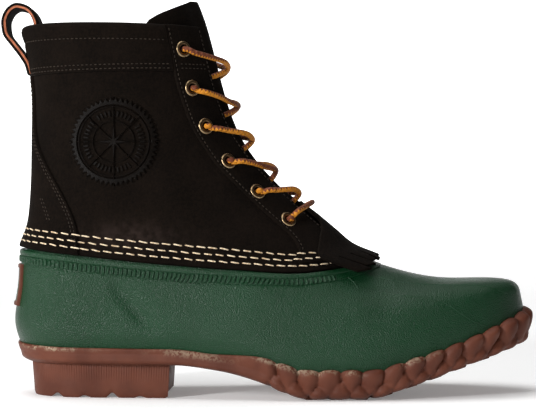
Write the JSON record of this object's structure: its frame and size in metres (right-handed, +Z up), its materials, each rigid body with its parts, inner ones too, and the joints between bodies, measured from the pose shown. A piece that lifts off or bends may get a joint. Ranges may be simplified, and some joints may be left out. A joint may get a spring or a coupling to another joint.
{
  "type": "duck boot",
  "caption": "Lace-up duck boot with a green rubber lower, dark brown leather shaft, fringed kiltie and lugged brown rubber sole.",
  "frame": {"origin": "on the floor, in the middle of the flat foot of the heel", "axes": "+Z up, +X towards the toe, +Y towards the inner side of the foot"},
  "size_m": [0.3125, 0.1069, 0.2301],
  "materials": {
    "brown_rubber": "matte reddish brown moulded rubber",
    "green_rubber": "soft satin forest green rubber with a fine pebbled grain",
    "leather": "very dark brown matte nubuck leather",
    "lining": "grey felt",
    "aged_brass": "aged brass with worn bright rims",
    "lace": "round braided cord, ochre with brown ticks"
  },
  "bodies": {
    "root": {"outsole": "brown_rubber", "heel": "brown_rubber", "rubber_shell": "green_rubber", "heel_patch": "brown_rubber", "shaft": "leather", "cuff": "leather", "eyestay_outer": "leather", "eyestay_inner": "leather", "backstay": "leather", "tongue": "leather", "kiltie": "leather", "pull_loop": "leather", "insole": "lining", "eyelet_outer_1": "aged_brass", "eyelet_outer_2": "aged_brass", "eyelet_outer_3": "aged_brass", "eyelet_outer_4": "aged_brass", "eyelet_outer_5": "aged_brass", "eyelet_outer_6": "aged_brass", "eyelet_inner_1": "aged_brass", "eyelet_inner_2": "aged_brass", "eyelet_inner_3": "aged_brass", "eyelet_inner_4": "aged_brass", "eyelet_inner_5": "aged_brass", "eyelet_inner_6": "aged_brass", "lace_crossing_1": "lace", "lace_crossing_2": "lace", "lace_crossing_3": "lace", "lace_crossing_4": "lace", "lace_crossing_5": "lace", "lace_bar": "lace"}
  },
  "joints": []
}
